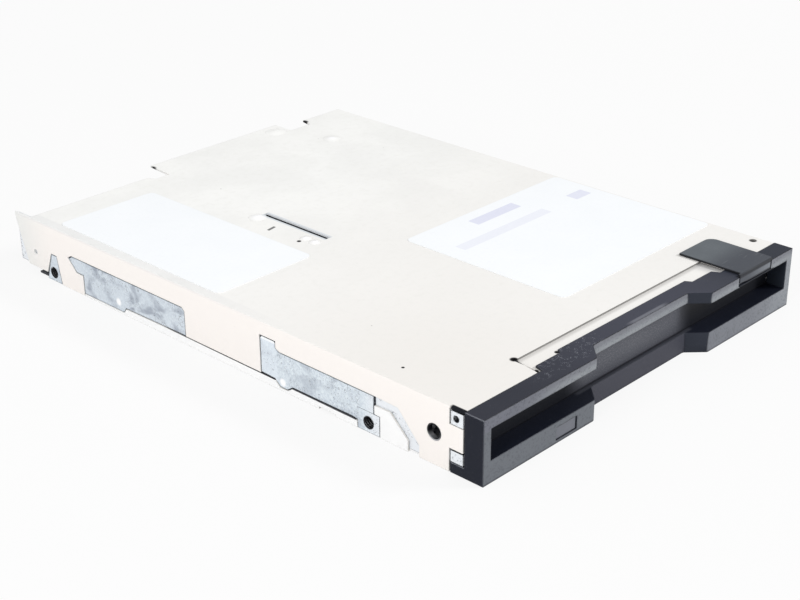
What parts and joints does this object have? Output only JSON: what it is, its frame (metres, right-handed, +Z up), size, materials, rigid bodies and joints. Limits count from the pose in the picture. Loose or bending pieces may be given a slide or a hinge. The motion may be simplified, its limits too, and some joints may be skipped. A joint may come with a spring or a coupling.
{
  "type": "floppy disk drive",
  "caption": "Slim 3.5-inch floppy disk drive: painted sheet covers on a steel frame, black bezel with a sprung door, disk lift, spindle motor and head carriage.",
  "frame": {"origin": "under the middle of the drive, on the plane it rests on", "axes": "+X to the right as one looks at the bezel, +Y from the bezel to the rear, +Z up"},
  "size_m": [0.096, 0.134, 0.0132],
  "materials": {
    "painted_steel": "satin off-white paint on sheet steel",
    "galvanised_steel": "mottled zinc coating",
    "bezel_plastic": "fine matt texture",
    "door_plastic": "sparked texture",
    "smoked_window": "smoked and glossy",
    "lamp_plastic": "clear green",
    "label_film": "printed white film",
    "zinc_steel": "bright zinc",
    "spring_steel": "drawn wire",
    "turned_steel": "ground and polished",
    "magnet": "sintered, matt",
    "sintered_bronze": "sintered bronze",
    "lamination": "stamped lamination",
    "copper_winding": "enamelled copper wire",
    "circuit_board": "solder mask",
    "black_epoxy": "moulded epoxy",
    "connector_plastic": "moulded liquid-crystal plastic",
    "lock_plastic": "moulded",
    "gold_contact": "gold flash",
    "carriage_plastic": "glass-filled",
    "white_plastic": "moulded acetal",
    "ceramic_head": "lapped",
    "polyimide_film": "amber film"
  },
  "bodies": {
    "chassis": {"frame": "galvanised_steel", "top_cover": "painted_steel", "base_cover": "painted_steel", "bezel": "bezel_plastic", "light_window": "smoked_window", "indicator_light": "lamp_plastic", "notice_label": "label_film", "rating_label": "label_film", "spindle_bearing": "sintered_bronze", "stator_core": "lamination", "stator_coils": "copper_winding", "motor_board": "circuit_board", "main_board": "circuit_board", "controller_chip": "black_epoxy", "driver_chip": "black_epoxy", "capacitors": "carriage_plastic", "deck_screws": "zinc_steel", "board_screws": "zinc_steel", "switch_bodies": "black_epoxy", "cable_connector": "connector_plastic", "connector_contacts": "gold_contact", "stepper_motor": "zinc_steel", "stepper_bracket": "zinc_steel", "guide_rod": "turned_steel", "rod_clamp_front": "zinc_steel", "rod_clamp_rear": "zinc_steel", "track_sensor": "black_epoxy", "head_flex": "polyimide_film", "door_spring": "spring_steel", "slide_spring_left": "spring_steel", "slide_spring_right": "spring_steel"},
    "door": {"shutter_door": "door_plastic"},
    "slide": {"slide_plate": "zinc_steel", "eject_slider": "bezel_plastic"},
    "holder": {"disk_holder": "zinc_steel", "holder_studs": "turned_steel", "lever_rivet": "turned_steel", "lever_spring": "spring_steel"},
    "lever": {"trigger_lever": "zinc_steel", "lever_pin": "turned_steel"},
    "spindle": {"spindle_rotor": "zinc_steel", "rotor_magnet": "magnet", "spindle_shaft": "turned_steel", "disk_hub": "zinc_steel", "chuck_magnet": "magnet"},
    "hub_pin": {"drive_pin": "turned_steel"},
    "carriage": {"head_carriage": "carriage_plastic", "screw_follower": "white_plastic", "lower_head": "ceramic_head", "arm_pin": "turned_steel", "arm_spring": "spring_steel"},
    "head_arm": {"upper_arm": "zinc_steel", "upper_head": "ceramic_head"},
    "screw": {"lead_screw": "turned_steel"},
    "density_switch": {"density_plunger": "white_plastic"},
    "protect_switch": {"protect_plunger": "white_plastic"},
    "disk_switch": {"disk_plunger": "white_plastic"},
    "cable_lock": {"connector_lock": "lock_plastic"}
  },
  "joints": [
    {"name": "door_swing", "type": "hinge", "parent": "chassis", "child": "door", "pos_m": [0, -0.0618, 0.0108], "axis": [1, 0, 0], "range_deg": [0, 88], "stiffness_Nm_per_rad": 0.0004, "springref_deg": -20.05},
    {"name": "slide_travel", "type": "slide", "parent": "chassis", "child": "slide", "axis": [0, -1, 0], "range_m": [0, 0.0045], "deforming": ["slide_spring_left", "slide_spring_right"]},
    {"name": "holder_drop", "type": "slide", "parent": "chassis", "child": "holder", "axis": [0, 0, -1], "range_m": [0, 0.0018]},
    {"name": "lever_swing", "type": "hinge", "parent": "holder", "child": "lever", "pos_m": [0.0395, 0.029, 0.0104], "axis": [0, 0, 1], "range_deg": [-48.2, 0]},
    {"name": "spindle_turn", "type": "hinge", "parent": "chassis", "child": "spindle", "pos_m": [0, -0.016, 0.00445], "axis": [0, 0, 1], "continuous": true},
    {"name": "pin_sink", "type": "slide", "parent": "spindle", "child": "hub_pin", "axis": [0, 0, -1], "range_m": [0, 0.0005], "stiffness_N_per_m": 200},
    {"name": "carriage_travel", "type": "slide", "parent": "chassis", "child": "carriage", "axis": [0, -1, 0], "range_m": [0, 0.0148], "deforming": ["head_flex"]},
    {"name": "screw_turn", "type": "hinge", "parent": "chassis", "child": "screw", "pos_m": [0.014, 0.039, 0.0032], "axis": [0, 1, 0], "range_deg": [0, 1422]},
    {"name": "arm_drop", "type": "hinge", "parent": "carriage", "child": "head_arm", "pos_m": [0, 0.0475, 0.00815], "axis": [1, 0, 0], "range_deg": [0, 8.45]},
    {"name": "density_press", "type": "slide", "parent": "chassis", "child": "density_switch", "axis": [0, 0, -1], "range_m": [0, 0.001], "stiffness_N_per_m": 200},
    {"name": "protect_press", "type": "slide", "parent": "chassis", "child": "protect_switch", "axis": [0, 0, -1], "range_m": [0, 0.001], "stiffness_N_per_m": 200},
    {"name": "disk_press", "type": "slide", "parent": "chassis", "child": "disk_switch", "axis": [0, 0, -1], "range_m": [0, 0.001], "stiffness_N_per_m": 200},
    {"name": "lock_slide", "type": "slide", "parent": "chassis", "child": "cable_lock", "axis": [0, 1, 0], "range_m": [0, 0.001]}
  ],
  "couplings": [
    {"joint": "holder_drop", "follows": "slide_travel", "ratio": 0.4},
    {"joint": "lever_swing", "follows": "slide_travel", "rad_per_m": -186.17},
    {"joint": "arm_drop", "follows": "slide_travel", "rad_per_m": 32.58},
    {"joint": "screw_turn", "follows": "carriage_travel", "rad_per_m": 1675.5}
  ]
}
